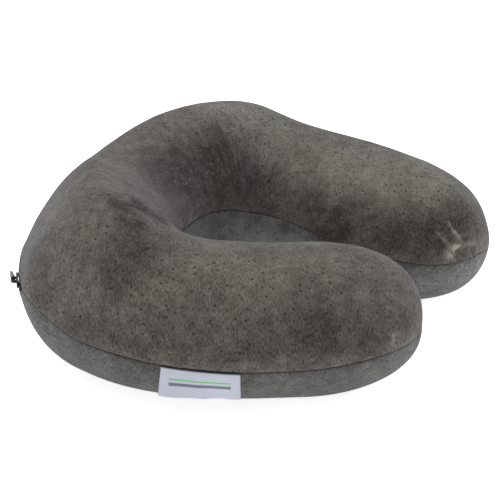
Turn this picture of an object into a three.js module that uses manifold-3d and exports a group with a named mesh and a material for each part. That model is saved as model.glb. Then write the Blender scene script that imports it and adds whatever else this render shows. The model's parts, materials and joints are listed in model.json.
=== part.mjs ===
// U shaped travel neck pillow: a moulded foam core in a knitted liner, inside a two-panel velour
// cover that closes with a coil zip round the outside of the nape.
// Millimetres. +Z is up, the nape is towards +Y, the open side of the U towards -Y.
// The origin is the bottom centre of the finished pillow.
import * as THREE from 'three';
import { mergeVertices } from 'three/addons/utils/BufferGeometryUtils.js';
import Module from 'manifold-3d';

const wasm = await Module();
wasm.setup();

// ---------------------------------------------------------------- driving dimensions
const BEND_LENGTH = 181.1;    // centre line, from the middle of the nape to the end of the bend
const ARM_LENGTH = 85.1;      // centre line, from the end of the bend to the tip
const BEND_ANGLE = 109.1;     // degrees turned by each half: 90 and the arm's toe-in
const BEND_BIAS = -0.6;       // below 0 the nape is flatter and the shoulders turn harder
const NAPE_CENTRE_Y = 84.5;   // centre line at the nape, in the drawing's own frame
const HALF_LENGTH = BEND_LENGTH + ARM_LENGTH;

// Each list holds [share of the half length, value]: 0 is the nape and 1 the tip of an arm.
const WIDTH = [[0, 79.1], [0.17, 81.4], [0.36, 100.4], [0.62, 106.1], [0.85, 92.4], [1, 92.4]];
const HEIGHT = [[0, 94.2], [0.17, 98.5], [0.34, 98.7], [0.4, 96.4], [0.48, 86.6], [0.55, 82.1],
  [0.62, 80.7], [0.85, 80], [1, 80]];
const WIDEST_Z = [[0, 48], [0.24, 48], [0.34, 41], [0.48, 40], [0.62, 39.5], [0.85, 39.7], [1, 35.1]];
const CREST_SHIFT = [[0, 5.3], [0.17, 4.1], [0.34, 7.2], [0.48, 8.1], [0.62, 6.6], [0.85, 0], [1, 0]];
const OUTER_SEAM_Z = [[0, 47.4], [0.3, 47.4], [0.42, 34], [0.62, 27.4], [0.85, 27.4], [1, 30.6]];
const INNER_SEAM_Z = [[0, 49.5], [0.33, 48], [0.62, 45.8], [0.88, 34.6], [1, 30.6]];

// Superellipse powers of each quarter of the section: 2 is an ellipse, less is more pointed.
const OUTER_TOP = [[0, 1.4], [0.26, 1.4], [0.42, 1.72], [1, 1.72]];
const OUTER_BASE = [[0, 1.79], [0.24, 1.79], [0.45, 2.03], [0.85, 1.83], [1, 1.83]];
const INNER_TOP = 1.61;
const INNER_BASE = 2;
const NOSE_LENGTH = 63.9;     // length over which an arm rounds off at its tip
const NOSE_PLAN_POWER = 2.03;
const NOSE_TOP_POWER = 2.54;
const NOSE_BASE_POWER = 2.16;
const BASE_FLATTENING = 4;    // how far the base is pressed flat by what it stands on

// Layers, as depths below the outside of the cover.
const COVER = { from: 0, to: 1.4 };
const TAPE = { from: 2.1, to: 2.6 };
const CARE_LABEL = { from: 1.9, to: 2.3 };
const LINER = { from: 3, to: 3.8 };
const FOAM_DEPTH = 6;
const SEAM_GAP = 0.3;         // between an upper piece and the lower piece that it is sewn to

// Zip: a flat circular arc round the outside of the nape, about an upright axis.
const ZIP_RADIUS = 220;
const ZIP_OUTER_Y = 126.5;    // where the arc crosses the middle of the nape
const ZIP_Z = 47.8;
const ZIP_HALF_LENGTH = 113.5;
const ZIP_ROOM = 3.2;         // how much deeper liner and foam lie behind the zip
const TAPE_HALF_WIDTH = 11;
const TAPE_TAIL = 6;          // how far the tapes run on past the teeth, in the seam
const COIL_RADIUS = 1;
const COIL_OFFSET = 1.9;      // of each coil's centre above or below the middle of the zip
const COIL_LEVEL = -0.4;      // of the coils' centres, from the outside of the cover
const COVER_CUTBACK = 4.8;    // the cover's edges stop this far from the middle of the zip
const STOP_LENGTH = 2.4;
const STOP_PROUD = 0.2;       // how far a stop stands out past the teeth
const STOP_CLEARANCE = 0.3;
const SLIDER_CLEARANCE = 0.4;
const SLIDER = { length: 9, width: 7, plate: 1, frontLevel: 0.9, backLevel: -3.6 };
const WEDGE = { length: 2, width: 0.7 };
const FLANGE = { thick: 0.4, bottomLevel: -1 };
const JOIN = 0.2;             // how far parts of one casting run into each other
const BRIDGE = { length: 6.4, width: 1.6, leg: 1.2, opening: 2.1, bar: 1 };
const PULL = { length: 10, width: 4.6, thick: 1.2, barRadius: 0.65, eyeWidth: 3, eyeLength: 4.2 };
const PULL_REST_ANGLE = 10;   // degrees that the pull tab stands up from the chain

const CARE_SPAN = [90, 122];  // along the centre line, from the nape
const LABEL = { distance: 156, width: 42, drop: 15, thick: 0.7, gap: 0.3 };

// Mesh fineness
const ZIP_STATIONS = 7;
const ARM_STATIONS = 16;
const ARM_EVENNESS = 0.45;    // 1 spaces an arm's stations evenly, 0 crowds them at the tip
const COIL_SIDES = 8;
const COIL_RINGS = 24;
const TOP_COLUMNS = [0, 0.05, 0.12, 0.24, 0.38, 0.54, 0.7, 0.86, 1];
const BASE_COLUMNS = [0, 0.05, 0.12, 0.26, 0.42, 0.54, 0.7, 0.86, 1];

// ---------------------------------------------------------------- curves
const radians = THREE.MathUtils.degToRad;
const mix = THREE.MathUtils.lerp;
const smooth = THREE.MathUtils.smoothstep;
const spread = (from, to, count) => (
  Array.from({ length: count + 1 }, (_, i) => mix(from, to, i / count))
);

// Smooth curve through a list of [place, value] knots, level at both ends.
function through(knots, place) {
  const last = knots.length - 1;
  const slopeAt = (i) => (i === 0 || i === last ? 0
    : (knots[i + 1][1] - knots[i - 1][1]) / (knots[i + 1][0] - knots[i - 1][0]));
  let i = 0;
  while (i < last - 1 && place > knots[i + 1][0]) i += 1;
  const [x0, y0] = knots[i];
  const [x1, y1] = knots[i + 1];
  const span = x1 - x0;
  const t = THREE.MathUtils.clamp((place - x0) / span, 0, 1);
  const ease = t * t * (3 - 2 * t);
  const lead = t * (1 - t) * (1 - t) * span * slopeAt(i);
  const trail = t * t * (t - 1) * span * slopeAt(i + 1);
  return mix(y0, y1, ease) + lead + trail;
}

// Direction of the centre line, in radians from +X, at a distance along it from the nape.
function headingAt(distance) {
  const x = Math.min(distance / BEND_LENGTH, 1);
  return radians(BEND_ANGLE) * (x + BEND_BIAS * Math.sin(2 * Math.PI * x) / (2 * Math.PI));
}

// The centre line of one half, integrated in short steps.
const LINE_STEP = 0.25;
function traceCentreLine() {
  const points = [new THREE.Vector2(0, NAPE_CENTRE_Y)];
  for (let d = 0; d < HALF_LENGTH; d += LINE_STEP) {
    const heading = headingAt(d + LINE_STEP / 2);
    const last = points[points.length - 1];
    points.push(new THREE.Vector2(
      last.x + LINE_STEP * Math.cos(heading),
      last.y - LINE_STEP * Math.sin(heading),
    ));
  }
  return points;
}
const CENTRE_LINE = traceCentreLine();

// A point of the centre line and its outward normal. Negative distances are the -X half.
function centreAt(distance) {
  const side = distance < 0 ? -1 : 1;
  const steps = Math.abs(distance) / LINE_STEP;
  const i = Math.min(Math.floor(steps), CENTRE_LINE.length - 2);
  const point = CENTRE_LINE[i].clone().lerp(CENTRE_LINE[i + 1], steps - i);
  const heading = headingAt(Math.abs(distance));
  return {
    x: side * point.x,
    y: point.y,
    outX: side * Math.sin(heading),
    outY: Math.cos(heading),
  };
}

// ---------------------------------------------------------------- the pillow's surface
const ZIP_CENTRE_Y = ZIP_OUTER_Y - ZIP_RADIUS;
const OUTLINE_FADE = 24;      // length over which the outline returns to its own curve
const OPENING_MARGIN = 1.5;   // how far the opening runs on past the zip's stops
const OPENING_FADE = 3;       // length over which the cover's edges come back together

// Distance from the centre line, along its normal, to the zip's arc.
function reachToZipArc(centre) {
  const y = centre.y - ZIP_CENTRE_Y;
  const along = centre.outX * centre.x + centre.outY * y;
  return Math.sqrt(along * along - centre.x ** 2 - y * y + ZIP_RADIUS ** 2) - along;
}

// Place on the zip's arc that lies straight outward from a point of the centre line.
function arcDistanceOver(distance) {
  const centre = centreAt(distance);
  const x = centre.x + centre.outX * reachToZipArc(centre);
  return ZIP_RADIUS * Math.asin(x / ZIP_RADIUS);
}

// Distance along the centre line at which the opening for the zip ends.
function findZipEnd() {
  let distance = 0;
  while (arcDistanceOver(distance) < ZIP_HALF_LENGTH + OPENING_MARGIN) distance += LINE_STEP;
  return distance;
}
const ZIP_END = findZipEnd();

// 1 along the zip, falling to 0 over a fade beyond its ends.
const alongZip = (distance, fade) => 1 - smooth(Math.abs(distance), ZIP_END, ZIP_END + fade);

// The cross section at a distance along the centre line, for a layer at some depth. Along the
// zip the cover is widest at the zip, which takes the place of the outer seam.
function sectionAt(distance, depth, extraAtZip = 0) {
  const share = Math.abs(distance) / HALF_LENGTH;
  const centre = centreAt(distance);
  const atZip = alongZip(distance, OUTLINE_FADE);
  const halfWidth = through(WIDTH, share) / 2;
  const zipReach = reachToZipArc(centre) - extraAtZip;
  const widestZ = mix(through(WIDEST_Z, share), ZIP_Z, atZip);
  const noseLength = NOSE_LENGTH - depth;
  const noseStart = HALF_LENGTH - NOSE_LENGTH;
  const along = THREE.MathUtils.clamp((Math.abs(distance) - noseStart) / noseLength, 0, 1);
  const rounding = (power) => (1 - along ** power) ** (1 / power);
  return {
    centre,
    depth,
    outer: mix(halfWidth, zipReach, atZip) - depth,
    inner: halfWidth - depth,
    widestZ,
    above: through(HEIGHT, share) - widestZ - depth,
    below: widestZ + BASE_FLATTENING - depth,
    shift: through(CREST_SHIFT, share),
    outerTop: through(OUTER_TOP, share),
    outerBase: through(OUTER_BASE, share),
    planScale: rounding(NOSE_PLAN_POWER),
    topScale: rounding(NOSE_TOP_POWER),
    baseScale: rounding(NOSE_BASE_POWER),
    outerSeam: mix(through(OUTER_SEAM_Z, share), ZIP_Z, atZip),
    innerSeam: through(INNER_SEAM_Z, share),
  };
}

// The superellipse power of one quarter of a section.
function roundness(section, isOuter, isTop) {
  if (isOuter) return isTop ? section.outerTop : section.outerBase;
  return isTop ? INNER_TOP : INNER_BASE;
}

const signedPower = (value, power) => Math.sign(value) * Math.abs(value) ** power;

// A point of the section. Angle 0 is outward, 90 degrees up, 180 degrees inward.
function pointOn(section, angle, lift = 0) {
  const cos = Math.cos(angle);
  const sin = Math.sin(angle);
  const power = 2 / roundness(section, cos >= 0, sin >= 0);
  const reach = cos >= 0 ? section.outer : section.inner;
  const rise = sin >= 0
    ? section.topScale * (section.above - lift)
    : section.baseScale * section.below;
  const lean = sin > 0 ? section.shift * sin * sin : 0;
  const out = section.planScale * (reach * signedPower(cos, power) + lean);
  const z = section.widestZ + lift + rise * signedPower(sin, power);
  return new THREE.Vector3(
    section.centre.x + section.centre.outX * out,
    section.centre.y + section.centre.outY * out,
    Math.max(z, section.depth + lift),
  );
}

// The section angle, from the level of the widest point, at which a height is reached on the
// outer or the inner side.
function angleAtHeight(section, z, isOuter) {
  const offset = z - section.widestZ;
  const rise = offset >= 0 ? section.above : section.below;
  const power = roundness(section, isOuter, offset >= 0) / 2;
  return Math.sign(offset) * Math.asin(Math.min(Math.abs(offset) / rise, 1) ** power);
}

// Angles across the top panel, from the outer seam over the crest to the inner seam.
function topAngles(section, cutback) {
  const from = angleAtHeight(section, section.outerSeam + cutback, true);
  const to = Math.PI - angleAtHeight(section, section.innerSeam, false);
  return TOP_COLUMNS.map((share) => mix(from, to, share));
}

// Angles across the bottom panel, from the outer seam under the base to the inner seam.
function baseAngles(section, cutback) {
  const from = angleAtHeight(section, section.outerSeam - cutback, true);
  const to = -Math.PI - angleAtHeight(section, section.innerSeam, false);
  return BASE_COLUMNS.map((share) => mix(from, to, share));
}

// ---------------------------------------------------------------- mesh building
// Distances from one tip to the other, closer together where the arms round off. Some of them
// mark where the cover's edges start and finish coming together beyond the zip.
function stations(depth) {
  const shrink = 1 - depth / HALF_LENGTH;
  const besideZip = spread(0, ZIP_END, ZIP_STATIONS);
  const alongArm = spread(0, 1, ARM_STATIONS).map((t) => (
    mix(ZIP_END + OPENING_FADE, HALF_LENGTH, mix(Math.sin(t * Math.PI / 2), t, ARM_EVENNESS))
  ));
  const half = [...besideZip, ...alongArm].map((distance) => distance * shrink);
  return [...half.slice(1).map((distance) => -distance).reverse(), ...half];
}

// Six times the volume that the triangles enclose, negative when they face inwards.
function signedVolume(triangles) {
  const cross = new THREE.Vector3();
  return triangles.reduce((sum, [a, b, c]) => sum + a.dot(cross.crossVectors(b, c)), 0);
}

// A geometry of the triangles, facing outwards, with vertices that fall on one place welded.
function geometryFrom(triangles) {
  const outward = signedVolume(triangles) < 0 ? triangles.map(([a, b, c]) => [a, c, b]) : triangles;
  const numbers = outward.flatMap((triangle) => triangle.flatMap((p) => [p.x, p.y, p.z]));
  const geometry = new THREE.BufferGeometry();
  geometry.setAttribute('position', new THREE.Float32BufferAttribute(numbers, 3));
  const welded = mergeVertices(geometry, 1e-3);
  const { index } = welded;
  const kept = [];
  for (let i = 0; i < index.count; i += 3) {
    const [a, b, c] = [index.getX(i), index.getX(i + 1), index.getX(i + 2)];
    if (a !== b && b !== c && c !== a) kept.push(a, b, c);
  }
  welded.setIndex(kept);
  welded.computeVertexNormals();
  return welded;
}

const quad = (a, b, c, d) => [[a, b, c], [a, c, d]];

// A closed skin between two grids of points: rows run along the pillow, columns across it.
function skinBetween(front, back) {
  const triangles = [];
  const rows = front.length - 1;
  const columns = front[0].length - 1;
  for (let r = 0; r < rows; r += 1) {
    for (let c = 0; c < columns; c += 1) {
      triangles.push(...quad(front[r][c], front[r + 1][c], front[r + 1][c + 1], front[r][c + 1]));
      triangles.push(...quad(back[r][c], back[r][c + 1], back[r + 1][c + 1], back[r + 1][c]));
    }
    triangles.push(...quad(front[r][0], back[r][0], back[r + 1][0], front[r + 1][0]));
    triangles.push(...quad(front[r][columns], front[r + 1][columns],
      back[r + 1][columns], back[r][columns]));
  }
  for (let c = 0; c < columns; c += 1) {
    triangles.push(...quad(front[0][c], front[0][c + 1], back[0][c + 1], back[0][c]));
    triangles.push(...quad(front[rows][c], back[rows][c], back[rows][c + 1], front[rows][c + 1]));
  }
  return geometryFrom(triangles);
}

// A skin that follows the pillow's surface, from tip to tip or over the stations kept.
function panel(layer, anglesOf, options) {
  const { lift = 0, extraAtZip = 0, cutback = 0, keep = () => true } = options;
  const guides = stations(0);
  const grid = (depth) => stations(depth).map((distance, i) => {
    const section = sectionAt(distance, depth, extraAtZip);
    const angles = anglesOf(sectionAt(guides[i], 0), cutback * alongZip(guides[i], OPENING_FADE));
    return angles.map((angle) => pointOn(section, angle, lift));
  }).filter((_, i) => keep(guides[i]));
  return skinBetween(grid(layer.from), grid(layer.to));
}

// The foam core: the whole section, from tip to tip.
function foamBody() {
  const guides = stations(0);
  const rows = stations(FOAM_DEPTH).map((distance, i) => {
    const section = sectionAt(distance, FOAM_DEPTH, ZIP_ROOM);
    const guide = sectionAt(guides[i], 0);
    const base = baseAngles(guide, 0).slice(1, -1).reverse();
    return [...topAngles(guide, 0), ...base].map((angle) => pointOn(section, angle));
  });
  const triangles = [];
  for (let r = 0; r < rows.length - 1; r += 1) {
    rows[r].forEach((point, c) => {
      const next = (c + 1) % rows[r].length;
      triangles.push(...quad(point, rows[r + 1][c], rows[r + 1][next], rows[r][next]));
    });
  }
  return geometryFrom(triangles);
}

// ---------------------------------------------------------------- booleans
function toSolid(geometry) {
  const plain = geometry.clone();
  plain.deleteAttribute('normal');
  plain.deleteAttribute('uv');
  const merged = mergeVertices(plain, 1e-4);
  return new wasm.Manifold(new wasm.Mesh({
    numProp: 3,
    vertProperties: new Float32Array(merged.attributes.position.array),
    triVerts: new Uint32Array(merged.index.array),
  }));
}

function fromSolid(solid) {
  const mesh = solid.getMesh();
  const geometry = new THREE.BufferGeometry();
  geometry.setAttribute('position', new THREE.BufferAttribute(mesh.vertProperties, 3));
  geometry.setIndex(new THREE.BufferAttribute(mesh.triVerts, 1));
  geometry.computeVertexNormals();
  return geometry;
}

const joined = (...geometries) => fromSolid(geometries.map(toSolid).reduce((a, b) => a.add(b)));
const cut = (body, ...tools) => fromSolid(
  tools.map(toSolid).reduce((solid, tool) => solid.subtract(tool), toSolid(body)),
);

// A box given by its span on each axis.
function block([x0, x1], [y0, y1], [z0, z1]) {
  const geometry = new THREE.BoxGeometry(x1 - x0, y1 - y0, z1 - z0);
  return geometry.translate((x0 + x1) / 2, (y0 + y1) / 2, (z0 + z1) / 2);
}

// ---------------------------------------------------------------- zip
// Zip pieces are drawn with x along the chain towards the +X end, y outward from the cover's
// face and z up from the chain's middle, then set on the arc at a distance from the nape.
function setOnZip(object, arcDistance) {
  const angle = arcDistance / ZIP_RADIUS;
  object.position.set(
    ZIP_RADIUS * Math.sin(angle),
    ZIP_CENTRE_Y + ZIP_RADIUS * Math.cos(angle),
    ZIP_Z,
  );
  object.rotation.z = -angle;
  return object;
}

// One row of teeth, as the plain rounded cord that its coil fills.
function coil(sign) {
  const reach = ZIP_HALF_LENGTH - STOP_LENGTH - STOP_CLEARANCE;
  const ring = (arcDistance) => {
    const angle = arcDistance / ZIP_RADIUS;
    return spread(0, 2 * Math.PI, COIL_SIDES).slice(0, -1).map((turn) => {
      const radius = ZIP_RADIUS + COIL_LEVEL + COIL_RADIUS * Math.cos(turn);
      return new THREE.Vector3(
        radius * Math.sin(angle),
        ZIP_CENTRE_Y + radius * Math.cos(angle),
        ZIP_Z + sign * COIL_OFFSET + COIL_RADIUS * Math.sin(turn),
      );
    });
  };
  const rings = spread(-reach, reach, COIL_RINGS).map(ring);
  const triangles = [];
  for (let r = 0; r < rings.length - 1; r += 1) {
    rings[r].forEach((point, c) => {
      const next = (c + 1) % rings[r].length;
      triangles.push(...quad(point, rings[r + 1][c], rings[r + 1][next], rings[r][next]));
    });
  }
  const [first, last] = [rings[0], rings[rings.length - 1]];
  for (let c = 1; c < first.length - 1; c += 1) {
    triangles.push([first[0], first[c], first[c + 1]]);
    triangles.push([last[0], last[c + 1], last[c]]);
  }
  return geometryFrom(triangles);
}

const CHAIN_HALF_WIDTH = COIL_OFFSET + COIL_RADIUS + STOP_PROUD;
const CHAIN_FACES = [COIL_LEVEL - COIL_RADIUS, COIL_LEVEL + COIL_RADIUS + STOP_PROUD];

function stop(from, to) {
  return block([-STOP_LENGTH / 2, STOP_LENGTH / 2], CHAIN_FACES, [from, to]);
}

// Two plates joined by the wedge that parts the teeth, with a bridge that holds the pull tab.
function sliderBody() {
  const half = SLIDER.length / 2;
  const side = SLIDER.width / 2;
  const front = SLIDER.frontLevel;
  const top = front + SLIDER.plate;
  const back = SLIDER.backLevel;
  const wedge = WEDGE.width / 2;
  const rim = side - FLANGE.thick;
  const flangeLevels = [FLANGE.bottomLevel, front + JOIN];
  const bridgeHalf = BRIDGE.length / 2;
  const bridgeWidth = [-BRIDGE.width / 2, BRIDGE.width / 2];
  const underBridge = top + BRIDGE.opening;
  const legLevels = [top - JOIN, underBridge + JOIN];
  return joined(
    block([-half, half], [front, top], [-side, side]),
    block([-half, half], [back - SLIDER.plate, back], [-rim, rim]),
    block([-half, WEDGE.length - half], [back - JOIN, front + JOIN], [-wedge, wedge]),
    block([-half, half], flangeLevels, [rim, side]),
    block([-half, half], flangeLevels, [-side, -rim]),
    block([-bridgeHalf, BRIDGE.leg - bridgeHalf], legLevels, bridgeWidth),
    block([bridgeHalf - BRIDGE.leg, bridgeHalf], legLevels, bridgeWidth),
    block([-bridgeHalf, bridgeHalf], [underBridge, underBridge + BRIDGE.bar], bridgeWidth),
  );
}

// A flat tab with an eye. It is drawn lying along +x from its pivot at the origin.
function pullTab() {
  const side = PULL.width / 2;
  const outline = new THREE.Shape();
  outline.moveTo(0, -side);
  outline.lineTo(PULL.length - side, -side);
  outline.absarc(PULL.length - side, 0, side, -Math.PI / 2, Math.PI / 2);
  outline.lineTo(0, side);
  outline.closePath();
  const plate = new THREE.ExtrudeGeometry(outline, {
    depth: PULL.thick, bevelEnabled: false, curveSegments: 8,
  });
  plate.translate(0, 0, -PULL.thick / 2);
  plate.rotateX(Math.PI / 2);
  const bar = new THREE.CylinderGeometry(PULL.barRadius, PULL.barRadius, PULL.width, 12);
  bar.rotateX(Math.PI / 2);
  const thick = [-PULL.thick, PULL.thick];
  const eye = block([-0.01, PULL.eyeLength], thick, [-PULL.eyeWidth / 2, PULL.eyeWidth / 2]);
  return joined(cut(plate, eye), bar);
}

// ---------------------------------------------------------------- label
// A folded ribbon that hangs from the outer seam of the -X arm, from an edge at its origin.
function sideLabel() {
  return block([-LABEL.width / 2, LABEL.width / 2], [-LABEL.thick / 2, LABEL.thick / 2],
    [-LABEL.drop, 0]);
}

function outerSeamPoint(distance) {
  const section = sectionAt(distance, 0);
  return pointOn(section, angleAtHeight(section, section.outerSeam, true));
}

// Sets a flat piece against the -X arm's outer seam, square to the seam's chord under it.
function setOnOuterSeam(object, distance, length, outward) {
  const ahead = outerSeamPoint(-distance - length / 2);
  const behind = outerSeamPoint(-distance + length / 2);
  const chord = behind.sub(ahead).setZ(0).normalize();
  object.position.copy(outerSeamPoint(-distance));
  object.position.x -= chord.y * outward;
  object.position.y += chord.x * outward;
  object.rotation.z = Math.atan2(chord.y, chord.x);
  return object;
}

// ---------------------------------------------------------------- assembly
const velour = { color: 0x6a6661, roughness: 1 };
const satin = { color: 0xd5dbe4, roughness: 0.45 };
const blackTape = { color: 0x17171a, roughness: 0.9 };
const blackNylon = { color: 0x101012, roughness: 0.5 };
const blackMetal = { color: 0x1b1b1f, roughness: 0.35, metalness: 0.7 };
const knit = { color: 0xe9e6de, roughness: 1 };
const foam = { color: 0xefe6c8, roughness: 1 };

const pillow = new THREE.Group();

function add(name, geometry, look) {
  const mesh = new THREE.Mesh(geometry, new THREE.MeshStandardMaterial(look));
  mesh.name = name;
  pillow.add(mesh);
  return mesh;
}

add('foam_core', foamBody(), foam);
add('liner_top_panel', panel(LINER, topAngles, { lift: SEAM_GAP, extraAtZip: ZIP_ROOM }), knit);
add('liner_bottom_panel', panel(LINER, baseAngles, { extraAtZip: ZIP_ROOM }), knit);
add('cover_top_panel', panel(COVER, topAngles, { lift: SEAM_GAP, cutback: COVER_CUTBACK }), velour);
add('cover_bottom_panel', panel(COVER, baseAngles, { cutback: COVER_CUTBACK }), velour);

const tapeEdge = COIL_OFFSET - COIL_RADIUS;
const tapeAngles = (sign) => (section) => spread(tapeEdge, TAPE_HALF_WIDTH, 2)
  .map((height) => angleAtHeight(section, ZIP_Z + sign * height, true));
const underTape = (distance) => Math.abs(distance) < ZIP_END + TAPE_TAIL;
add('zip_tape_upper', panel(TAPE, tapeAngles(1), { keep: underTape }), blackTape);
add('zip_tape_lower', panel(TAPE, tapeAngles(-1), { keep: underTape }), blackTape);
add('zip_coil_upper', coil(1), blackNylon);
add('zip_coil_lower', coil(-1), blackNylon);

const stopPlace = ZIP_HALF_LENGTH - STOP_LENGTH / 2;
const stopEdge = tapeEdge - STOP_PROUD;
setOnZip(add('zip_top_stop_upper', stop(stopEdge, CHAIN_HALF_WIDTH), blackMetal), -stopPlace);
setOnZip(add('zip_top_stop_lower', stop(-CHAIN_HALF_WIDTH, -stopEdge), blackMetal), -stopPlace);
setOnZip(add('zip_bottom_stop', stop(-CHAIN_HALF_WIDTH, CHAIN_HALF_WIDTH), blackMetal), stopPlace);

const sliderPlace = -(ZIP_HALF_LENGTH - STOP_LENGTH - SLIDER_CLEARANCE - SLIDER.length / 2);
const pivotLevel = SLIDER.frontLevel + SLIDER.plate + BRIDGE.opening / 2;
const slider = setOnZip(new THREE.Group(), sliderPlace);
slider.add(add('zip_slider_body', sliderBody(), blackMetal));
const pull = add('zip_pull_tab', pullTab(), blackMetal);
pull.position.y = pivotLevel;
pull.rotation.z = radians(PULL_REST_ANGLE);
slider.add(pull);
pillow.add(slider);

const label = add('side_label', sideLabel(), satin);
setOnOuterSeam(label, LABEL.distance, LABEL.width, LABEL.gap + LABEL.thick / 2);

// The care label hangs inside the cover from the seam just past the zip's -X end.
const careAngles = (section, cutback) => baseAngles(section, cutback).slice(1, 4);
const underCareLabel = (distance) => distance > -CARE_SPAN[1] && distance < -CARE_SPAN[0];
add('care_label', panel(CARE_LABEL, careAngles, { keep: underCareLabel }), satin);

// The drawing's frame is moved so that the finished pillow's box has its bottom centre at 0.
pillow.updateMatrixWorld(true);
const box = new THREE.Box3().setFromObject(pillow, true);
pillow.position.set(-(box.min.x + box.max.x) / 2, -(box.min.y + box.max.y) / 2, -box.min.z);

export default pillow;
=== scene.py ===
"""U shaped travel neck pillow: the looks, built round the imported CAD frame.

Shapes are worked out in millimetres in the drawing's own frame, where the pillow's mirror plane is
x = 0, and moved to the frame's metres as each mesh is made. +Y is the nape and -Y the open side.
"""
import json
import math

import bpy
import numpy as np
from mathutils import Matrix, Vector


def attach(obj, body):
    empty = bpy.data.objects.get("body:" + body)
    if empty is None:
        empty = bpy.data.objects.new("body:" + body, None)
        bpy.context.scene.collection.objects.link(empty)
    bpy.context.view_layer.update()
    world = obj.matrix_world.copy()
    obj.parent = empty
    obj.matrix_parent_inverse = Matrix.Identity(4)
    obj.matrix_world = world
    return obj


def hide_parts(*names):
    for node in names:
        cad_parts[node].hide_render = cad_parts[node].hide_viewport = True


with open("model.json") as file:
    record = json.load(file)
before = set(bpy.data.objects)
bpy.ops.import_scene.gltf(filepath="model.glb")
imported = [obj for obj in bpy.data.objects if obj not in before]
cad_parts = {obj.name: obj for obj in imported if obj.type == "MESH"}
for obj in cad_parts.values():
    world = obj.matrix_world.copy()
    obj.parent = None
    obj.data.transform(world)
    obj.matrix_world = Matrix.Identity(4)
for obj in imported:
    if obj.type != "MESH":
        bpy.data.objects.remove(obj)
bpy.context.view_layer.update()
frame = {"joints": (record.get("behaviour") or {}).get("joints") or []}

MM = 0.001

# ---- driving dimensions, millimetres
BEND_LENGTH = 181.1  # centre line, from the middle of the nape to the end of the bend
ARM_LENGTH = 85.1
BEND_ANGLE = 109.1  # degrees turned by each half
BEND_BIAS = -0.6  # below 0, it turns more sharply halfway than at its two ends
NAPE_CENTRE_Y = 84.5
HALF_LENGTH = BEND_LENGTH + ARM_LENGTH

# Each list holds [share of the half length, value]: 0 is the nape and 1 the tip of an arm.
WIDTH = [[0, 79.1], [0.17, 81.4], [0.36, 100.4], [0.62, 106.1], [0.85, 92.4], [1, 92.4]]
HEIGHT = [[0, 94.2], [0.17, 98.5], [0.34, 98.7], [0.4, 96.4], [0.48, 86.6], [0.55, 82.1],
          [0.62, 80.7], [0.85, 80], [1, 80]]
WIDEST_Z = [[0, 48], [0.24, 48], [0.34, 41], [0.48, 40], [0.62, 39.5], [0.85, 39.7], [1, 35.1]]
CREST_SHIFT = [[0, 5.3], [0.17, 4.1], [0.34, 7.2], [0.48, 8.1], [0.62, 6.6], [0.85, 0], [1, 0]]
OUTER_SEAM_Z = [[0, 47.4], [0.3, 47.4], [0.42, 34], [0.62, 27.4], [0.85, 27.4], [1, 30.6]]
INNER_SEAM_Z = [[0, 49.5], [0.33, 48], [0.62, 45.8], [0.88, 34.6], [1, 30.6]]
# Superellipse powers of each quarter of the section: 2 is an ellipse, less is more pointed.
OUTER_TOP = [[0, 1.4], [0.26, 1.4], [0.42, 1.72], [1, 1.72]]
OUTER_BASE = [[0, 1.79], [0.24, 1.79], [0.45, 2.03], [0.85, 1.83], [1, 1.83]]
INNER_TOP = 1.61
INNER_BASE = 2
NOSE_LENGTH = 63.9
NOSE_PLAN_POWER = 2.03
NOSE_TOP_POWER = 2.54
NOSE_BASE_POWER = 2.16
BASE_FLATTENING = 4

COVER_THICKNESS = 1.3
# How deep the two faces of each inner layer lie under the pillow's surface.
LINER = (3.0, 3.8)
TAPE = (2.1, 2.6)
CARE_LABEL = (1.9, 2.3)
FOAM_DEPTH = 6
SEAM_GAP = 0.3  # between the top and bottom panels where they meet

ZIP_RADIUS = 220
ZIP_OUTER_Y = 126.5
ZIP_HALF_LENGTH = 113.5
ZIP_ROOM = 3.2  # how far the foam and liner stand back behind the zip
OUTLINE_FADE = 24
OPENING_MARGIN = 1.5
OPENING_FADE = 3
COVER_CUTBACK = 4.2  # each edge of the cover stops this far from the middle of the zip
TAPE_HALF_WIDTH = 11
TAPE_TAIL = 6
CARE_SPAN = (-122, -90)
LABEL_DISTANCE = 156  # of the side label's middle, along the -X half
LABEL_WIDTH = 42
LABEL_DROP = 15

# ---- places taken from the frame
JOINTS = {joint["name"]: joint for joint in frame["joints"]}
ZIP_AXIS = Vector(JOINTS["zip_slider_travel"]["pos_m"])
ZIP_Z = ZIP_AXIS.z / MM
ZIP_CENTRE_Y = ZIP_OUTER_Y - ZIP_RADIUS
ORIGIN = np.array([ZIP_AXIS.x / MM, ZIP_AXIS.y / MM - ZIP_CENTRE_Y, 0.0])


def to_frame(points):
    """Drawing millimetres to the frame's metres."""
    return (np.asarray(points, float) + ORIGIN) * MM


# ---- curves
def through(knots, place):
    """Smooth curve through [place, value] knots, level at both ends."""
    x, y = np.array(knots, float).T
    slopes = np.zeros(len(x))
    slopes[1:-1] = (y[2:] - y[:-2]) / (x[2:] - x[:-2])
    i = np.clip(np.searchsorted(x, place, side="left") - 1, 0, len(x) - 2)
    span = x[i + 1] - x[i]
    t = np.clip((place - x[i]) / span, 0, 1)
    ease = t * t * (3 - 2 * t)
    lead = t * (1 - t) ** 2 * span * slopes[i]
    trail = t * t * (t - 1) * span * slopes[i + 1]
    return y[i] + (y[i + 1] - y[i]) * ease + lead + trail


def smoothstep(value, low, high):
    t = np.clip((value - low) / (high - low), 0, 1)
    return t * t * (3 - 2 * t)


def vectors(*parts):
    """Points or directions from their coordinates."""
    return np.stack(np.broadcast_arrays(*parts), axis=-1)


def length_of(vector):
    return np.linalg.norm(vector, axis=-1, keepdims=True)


def unit(vector):
    return vector / np.maximum(length_of(vector), 1e-9)


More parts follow.
